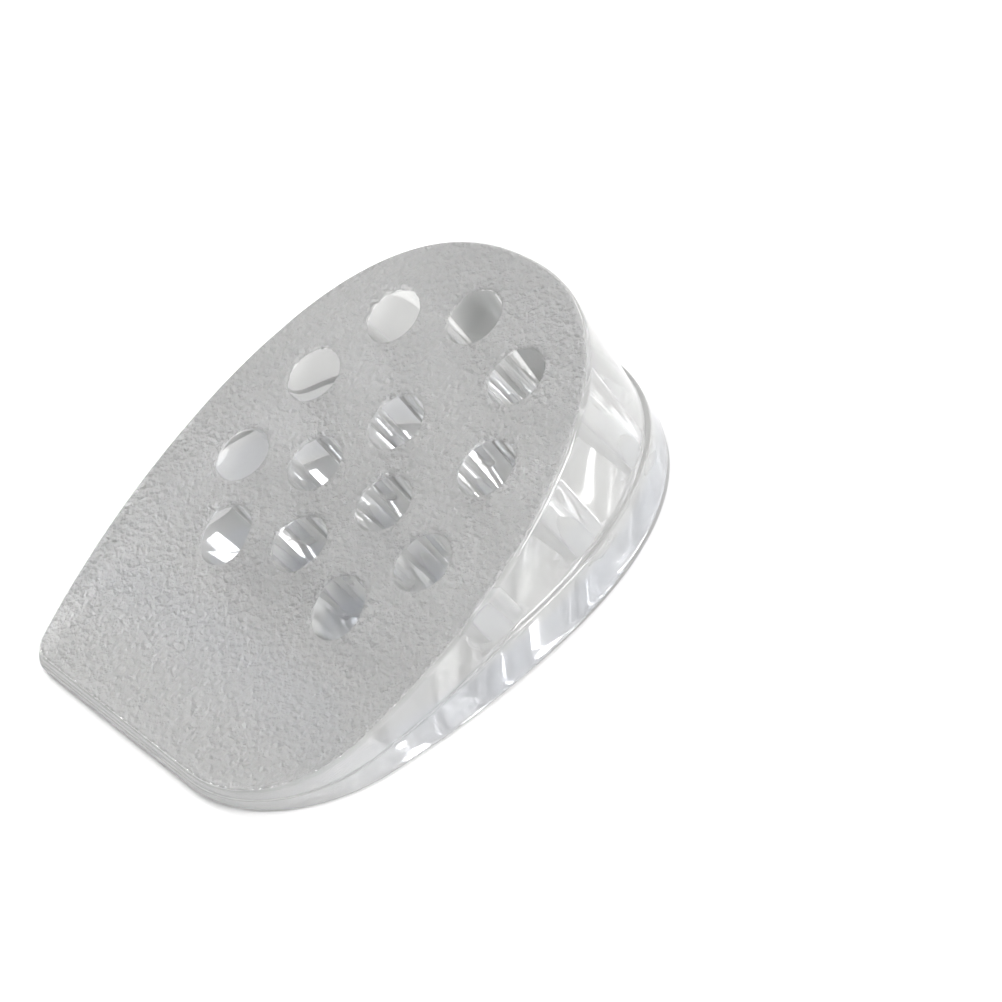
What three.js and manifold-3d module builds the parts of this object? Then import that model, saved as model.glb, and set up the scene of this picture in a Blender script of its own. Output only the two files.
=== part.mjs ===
// Height-increasing insole: one clear gel wedge that lies under the heel inside a shoe.
// Millimetres. X runs across the foot, Y from the thin front edge to the heel, Z is up.
// The flat base lies on z = 0 and the origin is the middle of the base's box.
import * as THREE from "three";
import { mergeVertices } from "three/addons/utils/BufferGeometryUtils.js";
import Module from "manifold-3d";

// Plan outline at the widest line
const LENGTH = 86;
const HALF_WIDTH = 36;
const FRONT_HALF_WIDTH = 28.2;
const WIDEST_FROM_FRONT = 39;
const HEEL_FULLNESS = 2.25; // 2 is an ellipse, more is squarer
const LEFT_CORNER_RADIUS = 5;
const RIGHT_CORNER_RADIUS = 22;

// Heights of the rim
const FRONT_THICKNESS = 2.3;
const HEEL_HEIGHT = 27;
const TOP_CURVE = 0.12; // share of the rise that comes late, towards the heel

// Side wall
const BASE_ROUNDING = 1.2; // how far the flat base stops short of the widest line
const BASE_ROUNDING_HEIGHT = 2;
const RIDGE_HEIGHT = 7; // the soft ridge round the wall, above the base
const RIDGE_INSET = 0.3;
const RIDGE_STEP = { in: 0.7, up: 0.6 }; // the wall steps back just above the ridge
const RIM_INSET = 3.4;
const LIP = 0.9; // radius of the edge between the wall and the top
const THIN_EDGE_SHARE = 0.3; // how much of these insets the thin front edge has
const THIN_SHARES = { rounding: 0.4, ridge: 0.5, lip: 0.3 }; // of the rim, where it is thin
const BEND = 0.3; // where a rounded edge's middle point lies, of its radius: near an arc
const WALL_LEAN = THREE.MathUtils.degToRad(8.2); // the wall leans forward with height

// Hollows of the top
const SCOOP_LENGTH = 30; // the front ramp, from the front edge to the first holes
const SCOOP_DEPTH = 1.8;
const SCOOP_FLOOR_SHARES = { front: 0.97, back: 0.42 }; // the flat floor, of the half width
const DISH_DEPTH = 0.8; // how far the middle of the heel lies under the rim
const DISH_START_SHARES = { from: 0.25, to: 0.5 }; // where the dish deepens, of the length

// Holes, right through
const HOLE_MOUTH = 8.5; // diameter at the top
const HOLE_TAPER = 0.055; // radius lost for each millimetre of depth
const HOLE_LEAN = THREE.MathUtils.degToRad(16); // the holes stand square to the sloping top
const HOLE_SIDES = 20;
const HOLE_OVERRUN = 3; // how far each cutter passes both faces

// Rows of holes from the heel to the front: shares of the half width and of the length
const HOLE_ROWS = [
  { across: 0, along: 0.808 },
  { across: 0.374, along: 0.754 },
  { across: 0.536, along: 0.613 },
  { across: 0, along: 0.611 },
  { across: 0.217, along: 0.494 },
  { across: 0.574, along: 0.447 },
  { across: 0, along: 0.377 },
  { across: 0.367, along: 0.33 },
];

// Fineness of the mesh
const CORNER_STEPS = 7;
const SIDE_STEPS = 10;
const HEEL_STEPS = 22;
const RIM_PASSES = 4;
const TOP_RINGS = [0.94, 0.86, 0.76, 0.66, 0.55, 0.44, 0.32, 0.2, 0.1];

const { clamp, lerp } = THREE.MathUtils;

const sideFlare = HALF_WIDTH - FRONT_HALF_WIDTH;

/** Half width of the plan outline at a distance y from the front edge, its corners left out. */
function halfWidth(y) {
  if (y <= WIDEST_FROM_FRONT) {
    return HALF_WIDTH - sideFlare * (1 - y / WIDEST_FROM_FRONT) ** 2;
  }
  const share = clamp((y - WIDEST_FROM_FRONT) / (LENGTH - WIDEST_FROM_FRONT), 0, 1);
  return HALF_WIDTH * (1 - share ** HEEL_FULLNESS) ** (1 / HEEL_FULLNESS);
}

/** One side of the outline from the front edge to just before the back of the heel. */
function halfOutline(cornerRadius) {
  const points = [];
  const slope = (2 * sideFlare * (1 - cornerRadius / WIDEST_FROM_FRONT)) / WIDEST_FROM_FRONT;
  const lastTurn = Math.PI / 2 - Math.atan(slope); // the arc runs into the flaring side
  const sideStart = cornerRadius * (1 - Math.cos(lastTurn));
  const centre = halfWidth(sideStart) - cornerRadius * Math.sin(lastTurn);
  for (let i = 0; i <= CORNER_STEPS; i++) {
    const turn = (i / CORNER_STEPS) * lastTurn;
    const x = centre + cornerRadius * Math.sin(turn);
    points.push(new THREE.Vector2(x, cornerRadius * (1 - Math.cos(turn))));
  }
  for (let i = 1; i <= SIDE_STEPS; i++) {
    const y = lerp(sideStart, WIDEST_FROM_FRONT, i / SIDE_STEPS);
    points.push(new THREE.Vector2(halfWidth(y), y));
  }
  for (let i = 1; i < HEEL_STEPS; i++) {
    const turn = (i / HEEL_STEPS) * (Math.PI / 2);
    const x = HALF_WIDTH * Math.cos(turn) ** (2 / HEEL_FULLNESS);
    const back = (LENGTH - WIDEST_FROM_FRONT) * Math.sin(turn) ** (2 / HEEL_FULLNESS);
    points.push(new THREE.Vector2(x, WIDEST_FROM_FRONT + back));
  }
  return points;
}

/** Whole outline, anticlockwise seen from above, with its outward normals. */
function planOutline() {
  const right = halfOutline(RIGHT_CORNER_RADIUS);
  const left = halfOutline(LEFT_CORNER_RADIUS).map((p) => new THREE.Vector2(-p.x, p.y));
  const points = [...right, new THREE.Vector2(0, LENGTH), ...left.reverse()];
  return points.map((point, i) => {
    const before = points[(i + points.length - 1) % points.length];
    const after = points[(i + 1) % points.length];
    const along = after.clone().sub(before).normalize();
    return { point, normal: new THREE.Vector2(along.y, -along.x) };
  });
}

/** How far forward a point at height z is drawn by the lean of the wall. */
function leanAt(z) {
  return Math.max(z - BASE_ROUNDING_HEIGHT, 0) * Math.tan(WALL_LEAN);
}

const rimLength = LENGTH - RIM_INSET - leanAt(HEEL_HEIGHT); // from the front edge, seen from above

/** Height of the rim at a distance y from the front edge. */
function rimHeight(y) {
  const share = clamp(y / rimLength, 0, 1);
  const rise = (1 - TOP_CURVE) * share + TOP_CURVE * share ** 2;
  return FRONT_THICKNESS + (HEEL_HEIGHT - FRONT_THICKNESS) * rise;
}

/** How much of the wall's full insets a place has, where the rim is so high. */
function wallShare(rim) {
  return clamp(rim / HEEL_HEIGHT + THIN_EDGE_SHARE, 0, 1);
}

/** Height of the foot side; spread is 0 on the middle line and 1 at the rim. */
function topHeight(y, spread) {
  const run = clamp(y / SCOOP_LENGTH, 0, 1);
  const floor = lerp(SCOOP_FLOOR_SHARES.front, SCOOP_FLOOR_SHARES.back, run);
  const flank = clamp((spread - floor) / (1 - floor), 0, 1);
  const deepest = 2 / 3; // where run ** 2 * (1 - run) is largest
  const hollow = (run ** 2 * (1 - run)) / (deepest ** 2 * (1 - deepest));
  const { from, to } = DISH_START_SHARES;
  const dish = THREE.MathUtils.smoothstep(y / LENGTH, from, to) * (1 - spread ** 2);
  return rimHeight(y) - SCOOP_DEPTH * hollow * (1 - flank) - DISH_DEPTH * dish;
}

/** Height of the rim above a point of the outline, from which it lies inwards and forward. */
function rimAbove({ point, normal }) {
  let y = point.y;
  for (let pass = 0; pass < RIM_PASSES; pass++) {
    y = point.y - normal.y * RIM_INSET * wallShare(rimHeight(y)) - leanAt(rimHeight(y));
  }
  return rimHeight(y);
}

/** Sections of the wall from the base up to the rim, for a place where the rim is so high. */
function wallSections(rim) {
  const size = wallShare(rim);
  const rounding = Math.min(BASE_ROUNDING_HEIGHT, THIN_SHARES.rounding * rim);
  const ridge = Math.min(RIDGE_HEIGHT, THIN_SHARES.ridge * rim);
  const lip = Math.min(LIP, THIN_SHARES.lip * rim);
  const under = BASE_ROUNDING * size;
  const edge = RIM_INSET * size;
  return [
    { z: 0, inset: under },
    { z: rounding * BEND, inset: under * BEND },
    { z: rounding, inset: 0 },
    { z: ridge, inset: RIDGE_INSET * size },
    { z: ridge + RIDGE_STEP.up * size, inset: (RIDGE_INSET + RIDGE_STEP.in) * size },
    { z: rim - lip, inset: edge - lip },
    { z: rim - lip * BEND, inset: edge - lip * (1 - BEND) },
    { z: rim, inset: edge },
  ];
}

/** The wedge without its holes: wall rings, then rings over the top, closed by two fans. */
function wedgeGeometry() {
  const outline = planOutline();
  const sections = outline.map((place) => wallSections(rimAbove(place)));
  const rings = sections[0].map((_, level) =>
    outline.map(({ point, normal }, i) => {
      const { z, inset } = sections[i][level];
      const place = point.clone().addScaledVector(normal, -inset);
      return new THREE.Vector3(place.x, place.y - leanAt(z), z);
    }),
  );
  const rim = rings[rings.length - 1];
  const middle = WIDEST_FROM_FRONT;
  for (const share of TOP_RINGS) {
    rings.push(
      rim.map((edge) => {
        const x = edge.x * share;
        const y = lerp(middle, edge.y, share);
        const spread = edge.y > middle ? share : Math.min(Math.abs(x) / halfWidth(y), 1);
        return new THREE.Vector3(x, y, topHeight(y, spread));
      }),
    );
  }
  const positions = rings.flat();
  const count = outline.length;
  const faces = [];
  for (let level = 0; level < rings.length - 1; level++) {
    for (let i = 0; i < count; i++) {
      const a = level * count + i;
      const b = level * count + ((i + 1) % count);
      faces.push(a, b, b + count, a, b + count, a + count);
    }
  }
  const baseCentre = positions.push(new THREE.Vector3(0, middle, 0)) - 1;
  const topCentre = positions.push(new THREE.Vector3(0, middle, topHeight(middle, 0))) - 1;
  const last = (rings.length - 1) * count;
  for (let i = 0; i < count; i++) {
    const next = (i + 1) % count;
    faces.push(next, i, baseCentre, last + i, last + next, topCentre);
  }
  const geometry = new THREE.BufferGeometry().setFromPoints(positions);
  geometry.setIndex(faces);
  return geometry;
}

/** Tapered cutter for one leaning hole, through the whole thickness. */
function holeCutter(x, y) {
  const depth = topHeight(y, Math.abs(x) / HALF_WIDTH) / Math.cos(HOLE_LEAN);
  const mouth = HOLE_MOUTH / 2;
  const top = mouth + HOLE_TAPER * HOLE_OVERRUN;
  const bottom = mouth - HOLE_TAPER * (depth + HOLE_OVERRUN);
  const height = depth + 2 * HOLE_OVERRUN;
  const cutter = new THREE.CylinderGeometry(top, bottom, height, HOLE_SIDES);
  cutter.rotateX(Math.PI / 2);
  cutter.translate(0, 0, HOLE_OVERRUN - height / 2);
  cutter.rotateX(HOLE_LEAN);
  cutter.translate(x, y, depth * Math.cos(HOLE_LEAN));
  return cutter;
}

const wasm = await Module();
wasm.setup();

/** A closed three.js geometry as a solid. */
function solidOf(geometry) {
  geometry.deleteAttribute("normal");
  geometry.deleteAttribute("uv");
  const merged = mergeVertices(geometry);
  const vertProperties = new Float32Array(merged.attributes.position.array);
  const triVerts = new Uint32Array(merged.index.array);
  return new wasm.Manifold(new wasm.Mesh({ numProp: 3, vertProperties, triVerts }));
}

/** A solid back as a three.js geometry. */
function geometryOf(solid) {
  const mesh = solid.getMesh();
  const geometry = new THREE.BufferGeometry();
  geometry.setAttribute("position", new THREE.BufferAttribute(mesh.vertProperties, 3));
  geometry.setIndex(new THREE.BufferAttribute(mesh.triVerts, 1));
  geometry.computeVertexNormals();
  return geometry;
}

/** The wedge with its holes cut. */
function gelWedge() {
  let solid = solidOf(wedgeGeometry());
  for (const { across, along } of HOLE_ROWS) {
    for (const side of across === 0 ? [0] : [-1, 1]) {
      solid = solid.subtract(solidOf(holeCutter(side * across * HALF_WIDTH, along * LENGTH)));
    }
  }
  const gel = new THREE.MeshStandardMaterial({ color: 0xe4e7e4, roughness: 0.22, metalness: 0 });
  const mesh = new THREE.Mesh(geometryOf(solid), gel);
  mesh.name = "gel_wedge";
  mesh.position.set(0, -LENGTH / 2, 0);
  return mesh;
}

const insole = new THREE.Group();
insole.name = "height_increasing_insole";
insole.add(gelWedge());

export default insole;
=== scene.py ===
# %% [markdown]
# # A clear gel height-increasing insole
#
# The real thing is one wedge of clear, soft gel that lies under the heel inside a shoe. It is
# poured in a mould, so nothing is joined to it. Three things make its look: the wedge's form with
# its side wall, the round holes right through it, and the finish. The foot side is finely grained
# like leather, and the wall, the holes and the base are smooth and glossy.
#
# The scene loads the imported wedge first, because its box is the frame that everything fits.

import math

import bpy
import numpy as np
from mathutils import Matrix, Vector
from mathutils.bvhtree import BVHTree


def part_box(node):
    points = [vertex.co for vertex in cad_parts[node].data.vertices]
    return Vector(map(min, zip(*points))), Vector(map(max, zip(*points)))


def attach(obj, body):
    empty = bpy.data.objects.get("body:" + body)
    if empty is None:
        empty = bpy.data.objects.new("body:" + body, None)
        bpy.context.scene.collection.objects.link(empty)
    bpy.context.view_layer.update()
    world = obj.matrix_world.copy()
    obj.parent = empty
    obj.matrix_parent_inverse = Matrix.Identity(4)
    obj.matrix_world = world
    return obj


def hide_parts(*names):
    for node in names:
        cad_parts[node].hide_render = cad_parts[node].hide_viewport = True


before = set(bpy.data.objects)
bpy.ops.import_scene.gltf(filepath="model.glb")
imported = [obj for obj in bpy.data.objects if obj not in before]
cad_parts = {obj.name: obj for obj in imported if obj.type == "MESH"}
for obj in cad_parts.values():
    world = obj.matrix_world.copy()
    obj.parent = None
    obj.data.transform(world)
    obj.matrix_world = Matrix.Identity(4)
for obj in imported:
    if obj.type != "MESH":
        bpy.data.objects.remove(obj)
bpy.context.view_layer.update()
low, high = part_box("gel_wedge")
LENGTH = high.y - low.y
HALF_WIDTH = (high.x - low.x) / 2
HEEL_HEIGHT = high.z - low.z
MM = 0.001
size = [round(v / MM, 1) for v in (LENGTH, 2 * HALF_WIDTH, HEEL_HEIGHT)]
print(f"wedge {size[0]} long, {size[1]} wide, {size[2]} mm high")

# %% [markdown]
# ## The outline
#
# Seen from above the wedge is a rounded heel with sides that draw in a little towards a straight
# front edge. It could be traced as a list of points, but three plain formulas say more: an arc at
# each front corner, a parabola along the side, and a superellipse round the heel. A superellipse
# is an ellipse whose powers are a little above 2, which makes it squarer, as a real heel pad is.

# %% Plan outline
FRONT_HALF_WIDTH = 28.2 * MM
WIDEST_FROM_FRONT = 39 * MM
HEEL_FULLNESS = 2.25
CORNER_RADII = {-1: 5 * MM, 1: 22 * MM}  # left and right
CORNER_STEPS, SIDE_STEPS, HEEL_STEPS = 24, 56, 110

flare = HALF_WIDTH - FRONT_HALF_WIDTH


def half_width(y):
    """Half width of the outline at distances y from the front edge, its corners left out."""
    side = HALF_WIDTH - flare * (1 - y / WIDEST_FROM_FRONT) ** 2
    share = np.clip((y - WIDEST_FROM_FRONT) / (LENGTH - WIDEST_FROM_FRONT), 0, 1)
    heel = HALF_WIDTH * (1 - share**HEEL_FULLNESS) ** (1 / HEEL_FULLNESS)
    return np.where(y <= WIDEST_FROM_FRONT, side, heel)


def half_outline(side):
    """Points of one side, from the front edge to just before the back of the heel."""
    radius = CORNER_RADII[side]
    slope = 2 * flare * (1 - radius / WIDEST_FROM_FRONT) / WIDEST_FROM_FRONT
    last_turn = math.pi / 2 - math.atan(slope)
    start = radius * (1 - math.cos(last_turn))
    centre = half_width(start) - radius * math.sin(last_turn)
    turn = np.linspace(0, last_turn, CORNER_STEPS + 1)
    corner = np.column_stack([centre + radius * np.sin(turn), radius * (1 - np.cos(turn))])
    y = np.linspace(start, WIDEST_FROM_FRONT, SIDE_STEPS + 1)[1:]
    straight = np.column_stack([half_width(y), y])
    turn = np.linspace(0, math.pi / 2, HEEL_STEPS + 1)[1:-1]
    power = 2 / HEEL_FULLNESS
    back = (LENGTH - WIDEST_FROM_FRONT) * np.sin(turn) ** power
    heel = np.column_stack([HALF_WIDTH * np.cos(turn) ** power, WIDEST_FROM_FRONT + back])
    return np.vstack([corner, straight, heel]) * (side, 1)


outline = np.vstack([half_outline(1), [(0, LENGTH)], half_outline(-1)[::-1]])
along = np.roll(outline, -1, axis=0) - np.roll(outline, 1, axis=0)
along /= np.linalg.norm(along, axis=1)[:, None]
outward = np.column_stack([along[:, 1], -along[:, 0]])
print(f"outline of {len(outline)} points")

# %% [markdown]
# ## The heights
#
# The top rises from a thin front edge to the heel, a little faster towards the back. It isn't
# flat: between the front edge and the first holes there is a shallow ramp with a fold on each
# flank, and under the heel there is a shallow dish, so that the foot doesn't slide off. All of it
# is one function of the place, which both the mesh and the finish use.

# %% Height of the foot side
FRONT_THICKNESS = 2.3 * MM
TOP_CURVE = 0.12
RIM_INSET = 3.4 * MM  # how far the rim lies inside the widest line
BASE_ROUNDING_HEIGHT = 2 * MM
WALL_LEAN = math.radians(8.2)
SCOOP_LENGTH, SCOOP_DEPTH = 30 * MM, 1.8 * MM
SCOOP_FRONT, SCOOP_BACK = 0.97, 0.42  # half width of the flat floor, as a share
DISH_DEPTH, DISH_FROM, DISH_TO = 0.8 * MM, 0.25, 0.5
THIN_EDGE_SHARE = 0.3


def smoothstep(x, start, end):
    """Rises smoothly from 0 at start to 1 at end."""
    t = np.clip((x - start) / (end - start), 0, 1)
    return t * t * (3 - 2 * t)


def lean_at(z):
    """How far forward a point at height z is drawn by the lean of the wall."""
    return np.maximum(z - BASE_ROUNDING_HEIGHT, 0) * math.tan(WALL_LEAN)


rim_length = LENGTH - RIM_INSET - lean_at(HEEL_HEIGHT)


def rim_height(y):
    """Height of the rim at distances y from the front edge."""
    share = np.clip(y / rim_length, 0, 1)
    rise = (1 - TOP_CURVE) * share + TOP_CURVE * share**2
    return FRONT_THICKNESS + (HEEL_HEIGHT - FRONT_THICKNESS) * rise


def top_height(y, spread):
    """Height of the foot side; spread is 0 on the middle line and 1 at the rim."""
    run = np.clip(y / SCOOP_LENGTH, 0, 1)
    floor = SCOOP_FRONT + (SCOOP_BACK - SCOOP_FRONT) * run
    flank = np.clip((spread - floor) / (1 - floor), 0, 1)
    deepest = 2 / 3
    hollow = run**2 * (1 - run) / (deepest**2 * (1 - deepest))
    dish = smoothstep(y / LENGTH, DISH_FROM, DISH_TO) * (1 - spread**2)
    return rim_height(y) - SCOOP_DEPTH * hollow * (1 - flank) - DISH_DEPTH * dish


def wall_share(rim):
    """How much of its full insets the wall has, where the rim is so high."""
    return np.clip(rim / HEEL_HEIGHT + THIN_EDGE_SHARE, 0, 1)


print(f"rim from {rim_height(0.0) / MM:.1f} to {rim_height(rim_length) / MM:.1f} mm high")

# %% [markdown]
# ## The wedge
#
# The wall goes up from a rounded foot to a soft ridge, steps back a little above it, and leans in
# to a small lip, where the foot side begins. A mesh for this is a stack of rings, each with one
# point for each point of the outline, joined by rows of four-sided faces. The wall's rings are a
# profile that grows with the height of the rim, and the top's rings shrink towards the middle.
# Rounded edges are real arcs of points here, because clear gel shows every edge as a bright line.

# %% Wedge mesh
BASE_ROUNDING = 1.2 * MM
RIDGE_HEIGHT, RIDGE_INSET = 7 * MM, 0.3 * MM
STEP_IN, STEP_UP = 0.7 * MM, 0.6 * MM  # the wall steps back just above the ridge
LIP = 0.9 * MM
THIN_ROUNDING, THIN_RIDGE, THIN_LIP = 0.4, 0.5, 0.3  # of the rim, where it is thin
ARC_STEPS, WALL_STEPS, TOP_STEPS, BASE_STEPS = 6, 10, 64, 24
RIM_PASSES = 8


def ring_heights(rim):
    """Heights and insets of the wall's rings for each point, from the base up to the rim."""
    size = wall_share(rim)
    rounding = np.minimum(BASE_ROUNDING_HEIGHT, THIN_ROUNDING * rim)
    ridge = np.minimum(RIDGE_HEIGHT, THIN_RIDGE * rim)
    lip = np.minimum(LIP, THIN_LIP * rim)
    under, edge, bulge = BASE_ROUNDING * size, RIM_INSET * size, RIDGE_INSET * size
    for t in np.linspace(0, math.pi / 2, ARC_STEPS + 1):
        yield rounding * (1 - math.cos(t)), under * (1 - math.sin(t))
    for t in np.linspace(0, 1, WALL_STEPS + 1)[1:]:
        yield rounding + (ridge - rounding) * t, bulge * t
    step_up, step_in = STEP_UP * size, STEP_IN * size
    for t in np.linspace(0, math.pi / 2, ARC_STEPS + 1)[1:]:
        yield ridge + step_up * math.sin(t), bulge + step_in * (1 - math.cos(t))
    foot, start, top_of_wall = ridge + step_up, bulge + step_in, rim - lip
    for t in np.linspace(0, 1, WALL_STEPS + 1)[1:]:
        yield foot + (top_of_wall - foot) * t, start + (edge - lip - start) * t
    for t in np.linspace(0, math.pi / 2, ARC_STEPS + 1)[1:]:
        yield top_of_wall + lip * math.sin(t), edge - lip * math.cos(t)


def rim_above(points, normals):
    """Height of the rim above each point of the outline, found in a few passes."""
    y = points[:, 1].copy()
    for _ in range(RIM_PASSES):
        rim = rim_height(y)
        y = points[:, 1] - normals[:, 1] * RIM_INSET * wall_share(rim) - lean_at(rim)
    return rim_height(y)


def wedge_mesh():
    """The wedge as a mesh, and a search tree of its foot side alone."""
    rings = []
    for z, inset in ring_heights(rim_above(outline, outward)):
        plan = outline - outward * inset[:, None]
        rings.append(np.column_stack([plan[:, 0], plan[:, 1] - lean_at(z), z]))
    edge, foot = rings[-1], rings[0]
    wall_levels = len(rings) - 1
    for share in np.linspace(1, 0, TOP_STEPS + 1)[1:-1]:
        x = edge[:, 0] * share
        y = WIDEST_FROM_FRONT + (edge[:, 1] - WIDEST_FROM_FRONT) * share
        across = np.minimum(np.abs(x) / np.maximum(half_width(y), MM), 1)
        spread = np.where(edge[:, 1] > WIDEST_FROM_FRONT, share, across)
        rings.append(np.column_stack([x, y, top_height(y, spread)]))
    base_middle = (0, WIDEST_FROM_FRONT, 0)
    for share in np.linspace(1, 0, BASE_STEPS + 1)[1:-1]:
        rings.insert(0, base_middle + (foot - base_middle) * share)
    count = len(outline)
    top_middle = (0, WIDEST_FROM_FRONT, float(top_height(WIDEST_FROM_FRONT, 0.0)))
    points = np.vstack([*rings, base_middle, top_middle])
    i = np.arange(count)
    j = (i + 1) % count
    faces = []
    for level in range(len(rings) - 1):
        a, b = level * count + i, level * count + j
        faces += np.column_stack([a, b, b + count, a + count]).tolist()
    foot_side_from = (BASE_STEPS - 1 + wall_levels) * count
    last = (len(rings) - 1) * count
    faces += [(int(q), int(p), len(points) - 2) for p, q in zip(i, j)]
    faces += [(int(p) + last, int(q) + last, len(points) - 1) for p, q in zip(i, j)]
    points = (points - (0, LENGTH / 2, 0)).tolist()
    mesh = bpy.data.meshes.new("gel_wedge_form")
    mesh.from_pydata(points, [], faces)
    mesh.polygons.foreach_set("use_smooth", [True] * len(mesh.polygons))
    top_faces = faces[foot_side_from:-2 * count] + faces[-count:]
    return mesh, BVHTree.FromPolygons(points, top_faces)


form, foot_side = wedge_mesh()
insole = bpy.data.objects.new("clear_gel_insole", form)
bpy.context.scene.collection.objects.link(insole)
print(f"wedge mesh of {len(insole.data.polygons)} faces")

# %% [markdown]
# ## Holes by Geometry Nodes
#
# Thirteen round holes go right through the gel to keep it light and airy. They stand in rows, the
# same on both sides of the middle line, and each narrows a little on its way down, because a
# tapered pin leaves a mould more easily. This is work for Geometry Nodes: one small cutter, made
# once, is put on every hole's place, and one Mesh Boolean takes them all away. A ray shot down
# finds how high the gel is at each cutter, so that its flared mouth follows the slope and every
# hole gets a soft, rounded lip of the same size.

# %% A cutter, as rings of one profile
HOLE_MOUTH = 8.5 * MM
HOLE_TAPER = 0.055  # radius lost for each unit of depth
HOLE_LEAN = math.radians(16)
HOLE_LIP = 0.6 * MM
LIP_END = math.radians(80)
LIP_STEPS = 6
OVERRUN = 3 * MM
HOLE_SIDES = 72


def cutter_mesh():
    """A closed drum whose points carry flare (extra radius), offset (past a face) and at_top."""
    arc = np.linspace(0, LIP_END, LIP_STEPS + 1)
    lip = [(HOLE_LIP * (1 - math.cos(t)), HOLE_LIP * (math.sin(t) - 1)) for t in arc]
    flared = lip[-1][0]
    upper = [(flare_out, offset, 1.0) for flare_out, offset in lip] + [(flared, OVERRUN, 1.0)]
    lower = [(flare_out, -offset, 0.0) for flare_out, offset, _ in upper][::-1]
    rings = lower + upper
    turn = np.arange(HOLE_SIDES) * 2 * math.pi / HOLE_SIDES
    points, flares, offsets, tops = [], [], [], []
    for level, (flare_out, offset, at_top) in enumerate(rings):
        points += [(math.cos(t), math.sin(t), level) for t in turn]
        flares += [flare_out] * HOLE_SIDES
        offsets += [offset] * HOLE_SIDES
        tops += [at_top] * HOLE_SIDES
    faces = [tuple(range(HOLE_SIDES))[::-1]]
    for level in range(len(rings) - 1):
        for k in range(HOLE_SIDES):
            a, b = level * HOLE_SIDES + k, level * HOLE_SIDES + (k + 1) % HOLE_SIDES
            faces.append((a, b, b + HOLE_SIDES, a + HOLE_SIDES))
    faces.append(tuple(range((len(rings) - 1) * HOLE_SIDES, len(rings) * HOLE_SIDES)))
    mesh = bpy.data.meshes.new("hole_cutter")
    mesh.from_pydata(points, [], faces)
    for name, values in (("flare", flares), ("offset", offsets), ("at_top", tops)):
        mesh.attributes.new(name, "FLOAT", "POINT").data.foreach_set("value", values)
    return bpy.data.objects.new("hole_cutter", mesh)


cutter = cutter_mesh()
print(f"cutter of {len(cutter.data.polygons)} faces")

# %% Rows of holes from the heel to the front
HOLE_ROWS = [  # shares of the half width and of the length
    (0, 0.808),
    (0.374, 0.754),
    (0.536, 0.613),
    (0, 0.611),
    (0.217, 0.494),
    (0.574, 0.447),
    (0, 0.377),
    (0.367, 0.33),
]
places = [(x * HALF_WIDTH, (y - 0.5) * LENGTH, 0) for x, y in HOLE_ROWS]
rows = bpy.data.meshes.new("hole_rows")
rows.from_pydata(places, [], [])
hole_rows = bpy.data.objects.new("hole_rows", rows)
HOLES = sum(1 if across == 0 else 2 for across, _ in HOLE_ROWS)
print(f"{HOLES} holes in {len(HOLE_ROWS)} rows")

# %% [markdown]
# A node tree is easier to read when its nodes are made by one short method. This class wraps a
# socket, so that sums on sockets add the Math nodes, and its `node` method makes any other node
# from its type, its settings and what goes into its sockets.

# %% Sockets that can be reckoned with
class Maths:
    """A socket of a node tree, or a number, with the operators that the trees here use."""

    def __init__(self, tree, socket):
        self.tree, self.socket = tree, socket

    def node(self, kind, settings=None, **inputs):
        made = self.tree.nodes.new(kind)
        for name, value in (settings or {}).items():
            setattr(made, name, value)
        for name, value in inputs.items():
            by_place = name.startswith("at_")
            socket = made.inputs[int(name[3:]) if by_place else name.replace("_", " ")]
            if isinstance(value, Maths):
                value = value.socket
            if isinstance(value, bpy.types.NodeSocket):
                self.tree.links.new(value, socket)
            else:
                socket.default_value = value
        return made

    def maths(self, operation, *values):
        kind = "ShaderNodeMath"
        named = {f"at_{i}": v for i, v in enumerate(values)}
        return Maths(self.tree, self.node(kind, {"operation": operation}, **named).outputs[0])

    def __add__(self, other):
        return self.maths("ADD", self, other)

    def __sub__(self, other):
        return self.maths("SUBTRACT", self, other)

    def __rsub__(self, other):
        return self.maths("SUBTRACT", other, self)

    def __mul__(self, other):
        return self.maths("MULTIPLY", self, other)

    __radd__, __rmul__ = __add__, __mul__

    def __truediv__(self, other):
        return self.maths("DIVIDE", self, other)

    def __pow__(self, other):
        return self.maths("POWER", self, other)


# %% The tree that cuts the holes
OFF_MIDDLE = -0.5 * MM  # a mirrored hole is kept when it lies beyond this
RAY_START, RAY_LENGTH = 0.1, 1.0  # metres above the wedge, and down


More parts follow.
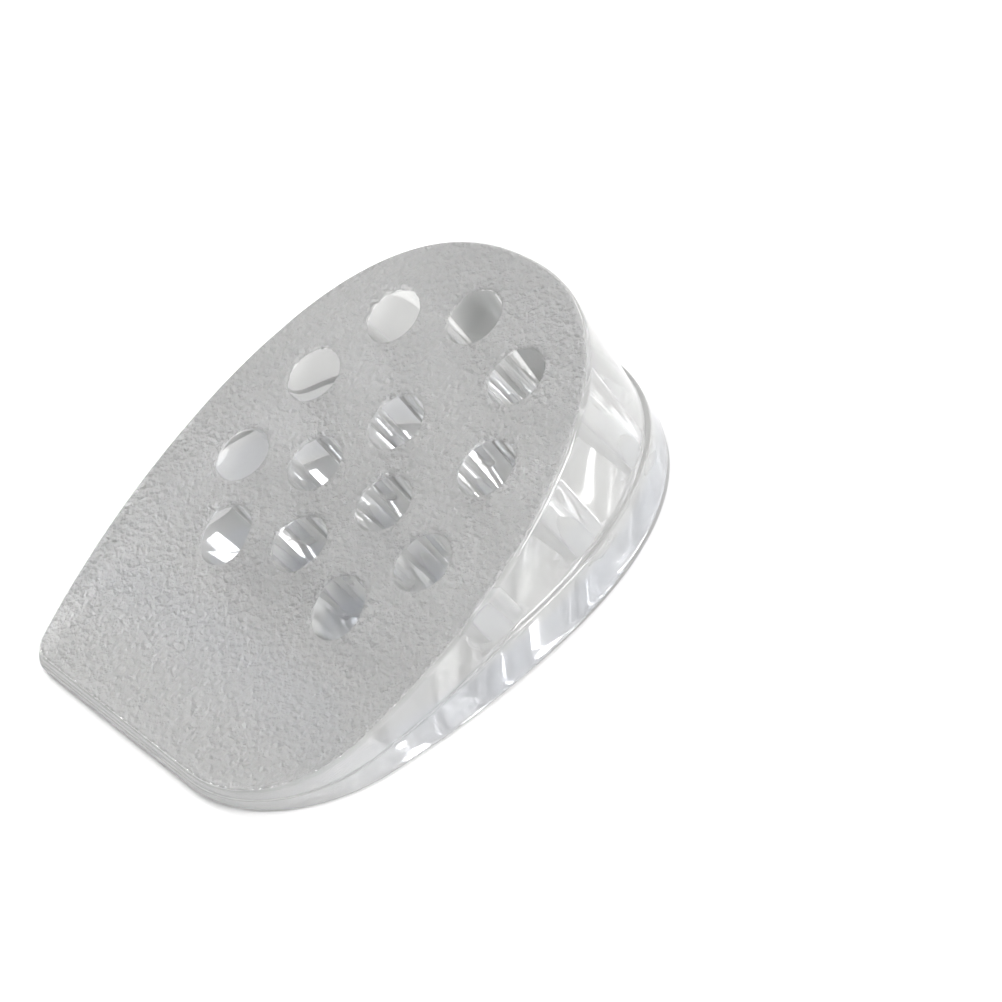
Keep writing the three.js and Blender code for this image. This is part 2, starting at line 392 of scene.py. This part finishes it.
def hole_tree(gel):
    """Mirrors the rows, puts a cutter on each place and takes them all from the gel."""
    tree = bpy.data.node_groups.new("cut_holes", "GeometryNodeTree")
    face = tree.interface
    face.new_socket("Gel", in_out="INPUT", socket_type="NodeSocketGeometry")
    for name, kind in (("Rows", "Object"), ("Cutter", "Object")):
        face.new_socket(name, in_out="INPUT", socket_type=f"NodeSocket{kind}")
    for name in ("Mouth Radius", "Taper", "Lean"):
        face.new_socket(name, in_out="INPUT", socket_type="NodeSocketFloat")
    face.new_socket("Gel", in_out="OUTPUT", socket_type="NodeSocketGeometry")
    start = tree.nodes.new("NodeGroupInput")
    wedge, rows_in, cutter_in, mouth, taper, lean = (Maths(tree, s) for s in start.outputs[:6])
    node = wedge.node

    def split(vector):
        return [Maths(tree, s) for s in node("ShaderNodeSeparateXYZ", at_0=vector).outputs]

    def drop(place):
        """Where a ray shot down from a place lands on the wedge, as a height."""
        hit = node("GeometryNodeRaycast", Target_Geometry=wedge, Source_Position=place,
                   Ray_Direction=(0, 0, -1), Ray_Length=RAY_LENGTH)
        return split(hit.outputs["Hit Position"])[2]

    one_side = node("GeometryNodeObjectInfo", Object=rows_in).outputs["Geometry"]
    other_side = node("GeometryNodeTransform", Geometry=one_side, Scale=(-1, 1, 1)).outputs[0]
    position = node("GeometryNodeInputPosition").outputs[0]
    off_middle = split(position)[0].maths("LESS_THAN", split(position)[0], OFF_MIDDLE)
    kept = node("GeometryNodeSeparateGeometry", Geometry=other_side, Selection=off_middle)
    both = node("GeometryNodeJoinGeometry")
    tree.links.new(one_side, both.inputs[0])
    tree.links.new(kept.outputs["Selection"], both.inputs[0])
    above = node("ShaderNodeVectorMath", {"operation": "ADD"}, at_0=position,
                 at_1=(0, 0, RAY_START))
    depth = drop(above.outputs[0])
    store = {"data_type": "FLOAT", "domain": "POINT"}
    vector_store = {"data_type": "FLOAT_VECTOR", "domain": "POINT"}
    points = node("GeometryNodeMeshToPoints", Mesh=both.outputs[0]).outputs[0]
    deep = node("GeometryNodeStoreNamedAttribute", store, Geometry=points, Name="depth",
                Value=depth)
    placed = node("GeometryNodeStoreNamedAttribute", vector_store, Geometry=deep.outputs[0],
                  Name="centre", Value=position)
    shape = node("GeometryNodeObjectInfo", Object=cutter_in).outputs["Geometry"]
    copies = node("GeometryNodeInstanceOnPoints", Points=placed.outputs[0], Instance=shape)
    drums = node("GeometryNodeRealizeInstances", Geometry=copies.outputs[0]).outputs[0]

    def named(name, kind="FLOAT"):
        made = node("GeometryNodeInputNamedAttribute", {"data_type": kind}, Name=name)
        return Maths(tree, made.outputs["Attribute"])

    flare_out, offset, at_top, depth = (named(n) for n in ("flare", "offset", "at_top", "depth"))
    centre = split(named("centre", "FLOAT_VECTOR"))
    place = split(position)
    radius = mouth - (1 - at_top) * taper * depth + flare_out
    x = centre[0] + (place[0] - centre[0]) * radius
    stretch = (lean * lean + 1) ** 0.5
    long = at_top / stretch + (1 - at_top) * stretch
    y = centre[1] + (place[1] - centre[1]) * radius * long + (1 - at_top) * depth * lean
    over = node("ShaderNodeCombineXYZ", X=x, Y=y, Z=RAY_START).outputs[0]
    z = drop(over) * at_top + offset
    spot = node("ShaderNodeCombineXYZ", X=x, Y=y, Z=z).outputs[0]
    set_back = node("GeometryNodeSetPosition", Geometry=drums, Position=spot).outputs[0]
    cut = node("GeometryNodeMeshBoolean", {"operation": "DIFFERENCE", "solver": "MANIFOLD"})
    tree.links.new(wedge.socket, cut.inputs["Mesh 1"])
    tree.links.new(set_back, cut.inputs["Mesh 2"])
    smooth = node("GeometryNodeSetShadeSmooth", Geometry=cut.outputs[0])
    whole = node("GeometryNodeRealizeInstances", Geometry=smooth.outputs[0]).outputs[0]
    dressed = node("GeometryNodeSetMaterial", Geometry=whole, Material=gel).outputs[0]
    end = tree.nodes.new("NodeGroupOutput")
    tree.links.new(dressed, end.inputs[0])
    return tree


def cut_holes(piece, gel):
    """Runs the tree on the piece and leaves a plain mesh on it."""
    tree = hole_tree(gel)
    values = {"Rows": hole_rows, "Cutter": cutter, "Mouth Radius": HOLE_MOUTH / 2,
              "Taper": HOLE_TAPER, "Lean": math.tan(HOLE_LEAN)}
    modifier = piece.modifiers.new("holes", "NODES")
    modifier.node_group = tree
    for item in tree.interface.items_tree:
        if item.in_out == "INPUT" and item.name in values:
            modifier[item.identifier] = values[item.name]
    evaluated = piece.evaluated_get(bpy.context.evaluated_depsgraph_get())
    plain = bpy.data.meshes.new_from_object(evaluated)
    piece.modifiers.clear()
    piece.data = plain


# %% [markdown]
# ## The finish
#
# Clear gel is one material all through, so one clear Principled shader does most of it: a high
# transmission, the gel's index of refraction and hardly any tint. The little that it doesn't
# transmit is its milkiness. The foot side is frosted by a fine, round grain like leather, which
# scatters light. A second, milky shader stands for that, and a Mix Shader brings it in where a
# point attribute says that the place is grained. Near its foot the wall has painted shade: its
# colour turns darker and cooler there, standing in for the contact shadow and for the table's
# light that the thick gel bends.

# %% Gel with a grained foot side
# The second tint is painted shade, darker and cooler, for the wall's foot.
GEL_TINT, FOOT_SHADE_TINT = (0.985, 0.985, 0.975, 1), (0.92, 0.94, 0.985, 1)
GEL_INDEX = 1.42
CLEARNESS, FROST_CLEARNESS = 0.77, 0.3
SMOOTH, GRAIN_GLOSS, FROST_GLOSS = 0.05, 0.17, 0.3
FROST_SHARE = 0.12  # of the milky shader in the grained places
GRAIN_SIZE = 1.1 * MM
GRAIN_DEPTH, FROST_DEPTH = 1.2 * MM, 4 * MM
BEND_SCALE, BEND_SHARE, BEND_DETAIL = 0.8, 0.5, 2  # the bend of the grain's cells, in cells
FINE_SCALE, FINE_DETAIL, FINE_ROUGHNESS = 1.9, 3, 0.6
CELL_SHARE = 0.7  # of the cells' relief, against the fine one
# Heights where the painted foot shade fades in and out, and where it fades in from the front.
FOOT_SHADE_FROM, FOOT_SHADE_FULL, FOOT_SHADE_END, FOOT_SHADE_TOP = 0.2 * MM, 1 * MM, 5 * MM, 7 * MM
FOOT_SHADE_BACK = (-38 * MM, -15 * MM)  # the thin front edge stays free of it


def gel_material():
    """Clear gel, with a milky share, grain and painted shade at the wall's foot."""
    material = bpy.data.materials.new("clear_gel")
    material.use_nodes = True
    tree = material.node_tree
    tree.nodes.clear()
    node = Maths(tree, None).node
    at = node("ShaderNodeTexCoord").outputs["Object"]
    stored = node("ShaderNodeAttribute", {"attribute_name": "grained"})
    grained = Maths(tree, stored.outputs["Fac"])
    per_metre = 1 / GRAIN_SIZE
    bend = node("ShaderNodeTexNoise", Vector=at, Scale=BEND_SCALE * per_metre,
                Detail=BEND_DETAIL)
    shifted = node("ShaderNodeVectorMath", {"operation": "MULTIPLY_ADD"},
                   at_0=bend.outputs["Color"], at_1=(BEND_SHARE * GRAIN_SIZE,) * 3, at_2=at)
    cells = node("ShaderNodeTexVoronoi", {"feature": "F1"}, Vector=shifted.outputs[0],
                 Scale=per_metre)
    fine = node("ShaderNodeTexNoise", Vector=at, Scale=FINE_SCALE * per_metre,
                Detail=FINE_DETAIL, Roughness=FINE_ROUGHNESS)
    height = Maths(tree, fine.outputs["Fac"]) - CELL_SHARE * Maths(tree, cells.outputs["Distance"])
    relief = height * grained
    grain = node("ShaderNodeBump", Height=relief, Strength=1.0, Distance=GRAIN_DEPTH)
    deep_grain = node("ShaderNodeBump", Height=relief, Strength=1.0, Distance=FROST_DEPTH)

    def rise(value, start, end):
        """The shader's own smoothstep."""
        smooth = {"interpolation_type": "SMOOTHSTEP"}
        made = node("ShaderNodeMapRange", smooth, Value=value, From_Min=start, From_Max=end)
        return Maths(tree, made.outputs["Result"])

    place = node("ShaderNodeSeparateXYZ", Vector=at).outputs
    up = place["Z"]
    # Painted shade: the base colour turns darker and cooler near the wall's foot.
    painted_foot_shade = rise(up, FOOT_SHADE_FROM, FOOT_SHADE_FULL) * (1 - rise(up, FOOT_SHADE_END, FOOT_SHADE_TOP))
    painted_foot_shade = painted_foot_shade * rise(place["Y"], *FOOT_SHADE_BACK)
    tint = node("ShaderNodeMix", {"data_type": "RGBA"}, at_0=painted_foot_shade, at_6=GEL_TINT, at_7=FOOT_SHADE_TINT)
    gloss = SMOOTH + (GRAIN_GLOSS - SMOOTH) * grained
    clear = node("ShaderNodeBsdfPrincipled", Base_Color=tint.outputs[2], Roughness=gloss,
                 IOR=GEL_INDEX, Transmission_Weight=CLEARNESS, Normal=grain.outputs[0])
    frost = node("ShaderNodeBsdfPrincipled", Base_Color=GEL_TINT, Roughness=FROST_GLOSS,
                 IOR=GEL_INDEX, Transmission_Weight=FROST_CLEARNESS,
                 Normal=deep_grain.outputs[0])
    mixed = node("ShaderNodeMixShader", Fac=grained * FROST_SHARE, at_1=clear.outputs[0],
                 at_2=frost.outputs[0])
    out = tree.nodes.new("ShaderNodeOutputMaterial")
    tree.links.new(mixed.outputs[0], out.inputs["Surface"])
    return material


gel = gel_material()
cut_holes(insole, gel)
print(f"insole of {len(insole.data.polygons)} faces with its holes")

# %% How grained each point is
GRAIN_START, GRAIN_FADE = 0.05 * MM, 0.45 * MM  # depth under the foot side

depth = np.array([foot_side.find_nearest(v.co)[3] for v in insole.data.vertices])
grained = 1 - smoothstep(depth, GRAIN_START, GRAIN_FADE)
attribute = insole.data.attributes.new("grained", "FLOAT", "POINT")
attribute.data.foreach_set("value", grained)
print(f"{grained.mean():.0%} of the points are grained")

# %% The piece takes the wedge's place
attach(insole, "root")
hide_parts("gel_wedge")

# %% [markdown]
# ## Floor, light and camera
#
# Clear gel has no colour of its own to speak of: it shows what it lies on and the lamps round it.
# The floor is white paper. Under the insole lies a grey card, which is painted shadow: it is a
# little smaller than its base but comes out behind the left of the heel, where light bends through
# the holes towards it, and it stands in for the shade under and behind the insole, which gives the
# gel and the holes their soft grey. The room is an even grey, and three soft lamps, one low at the
# left, one at the right and one above, give the glints and the grain.

# %% Floor and a painted shadow card
FLOOR_SIZE = 3.0
FLOOR_GAP, SHADOW_CARD_GAP = 0.04 * MM, 0.02 * MM
SHADOW_CARD_SHARES = (0.98, 0.965)  # of the base, across and from the heel
SHADOW_CARD_REACH = 22 * MM  # how far the card comes out behind the left of the heel
BEHIND = np.array((-0.89, 0.46))
# The grey of the card is painted shadow, for the shade under and behind the insole.
PAPER_WHITE, SHADOW_CARD_GREY = 0.92, 0.56
PAPER_ROUGHNESS = 0.9


def stage_piece(name, corners, drop, shade):
    """A flat, matt sheet under the insole."""
    mesh = bpy.data.meshes.new(name)
    mesh.from_pydata([(x, y, -drop) for x, y in corners], [], [tuple(range(len(corners)))])
    sheet = bpy.data.objects.new(name, mesh)
    bpy.context.scene.collection.objects.link(sheet)
    paper = bpy.data.materials.new(name)
    paper.use_nodes = True
    shader = paper.node_tree.nodes["Principled BSDF"]
    shader.inputs["Base Color"].default_value = (shade, shade, shade, 1)
    shader.inputs["Roughness"].default_value = PAPER_ROUGHNESS
    mesh.materials.append(paper)


s = FLOOR_SIZE
floor = [(-s, -s), (s, -s), (s, s), (-s, s)]
stage_piece("white_floor", floor, FLOOR_GAP, PAPER_WHITE)
# Painted shadow: a grey sheet under the insole that reaches out behind the left of the heel, where
# there is only shade.
facing = np.clip(outward @ BEHIND, 0, 1) * outline[:, 1] / LENGTH
shadow_card = (outline - (0, LENGTH)) * SHADOW_CARD_SHARES + (0, LENGTH / 2)
shadow_card += facing[:, None] * BEHIND * SHADOW_CARD_REACH
stage_piece("grey_card", shadow_card.tolist(), SHADOW_CARD_GAP, SHADOW_CARD_GREY)
print(f"card of {len(shadow_card)} corners under the insole")

# %% Lamps and room
ROOM_LIGHT = 0.40
scene = bpy.context.scene
world = bpy.data.worlds.new("room")
world.use_nodes = True
world.node_tree.nodes["Background"].inputs["Color"].default_value = (1, 1, 1, 1)
world.node_tree.nodes["Background"].inputs["Strength"].default_value = ROOM_LIGHT
scene.world = world


def softbox(name, place, size, power):
    """A square lamp that faces the insole."""
    lamp = bpy.data.lights.new(name, "AREA")
    lamp.shape, lamp.size, lamp.energy = "SQUARE", size, power
    box = bpy.data.objects.new(name, lamp)
    box.location = place
    box.rotation_mode = "QUATERNION"
    box.rotation_quaternion = (-Vector(place)).to_track_quat("-Z", "Y")
    scene.collection.objects.link(box)


LAMPS = {  # place and size in metres, power in watts
    "left_lamp": ((-0.85, 0.1, 0.45), 0.4, 9),
    "near_lamp": ((0.8, 0.45, 0.5), 0.5, 9),
    "top_lamp": ((0.2, 0, 1.1), 0.6, 4),
}
for name, (place, size, power) in LAMPS.items():
    softbox(name, place, size, power)
print(f"{len(LAMPS)} lamps")

# %% Camera
EYE = Vector((0.2369, -0.1039, 0.2080))
EYE_RIGHT = Vector((0.6323, 0.7217, -0.2816))
EYE_BACK = Vector((0.6915, -0.3619, 0.6251))
SENSOR = 36.0
FRAME, FOCUS = 1002, 2400  # the picture's width and its focal length, in pixels
LENS = SENSOR * FOCUS / FRAME
NEAREST, FARTHEST = 0.01, 20
BOUNCES, DIFFUSE_BOUNCES = 8, 2

camera_data = bpy.data.cameras.new("camera")
camera_data.sensor_width, camera_data.lens = SENSOR, LENS
camera_data.clip_start, camera_data.clip_end = NEAREST, FARTHEST
camera = bpy.data.objects.new("camera", camera_data)
up = EYE_BACK.cross(EYE_RIGHT).normalized()
right = up.cross(EYE_BACK).normalized()
turn = Matrix((right, up, EYE_BACK.normalized())).transposed()
camera.matrix_world = Matrix.Translation(EYE) @ turn.to_4x4()
scene.collection.objects.link(camera)
scene.camera = camera
scene.view_settings.view_transform = "Standard"
scene.cycles.max_bounces = BOUNCES
scene.cycles.transmission_bounces = BOUNCES
scene.cycles.diffuse_bounces = DIFFUSE_BOUNCES
print(f"lens of {LENS:.1f} mm")
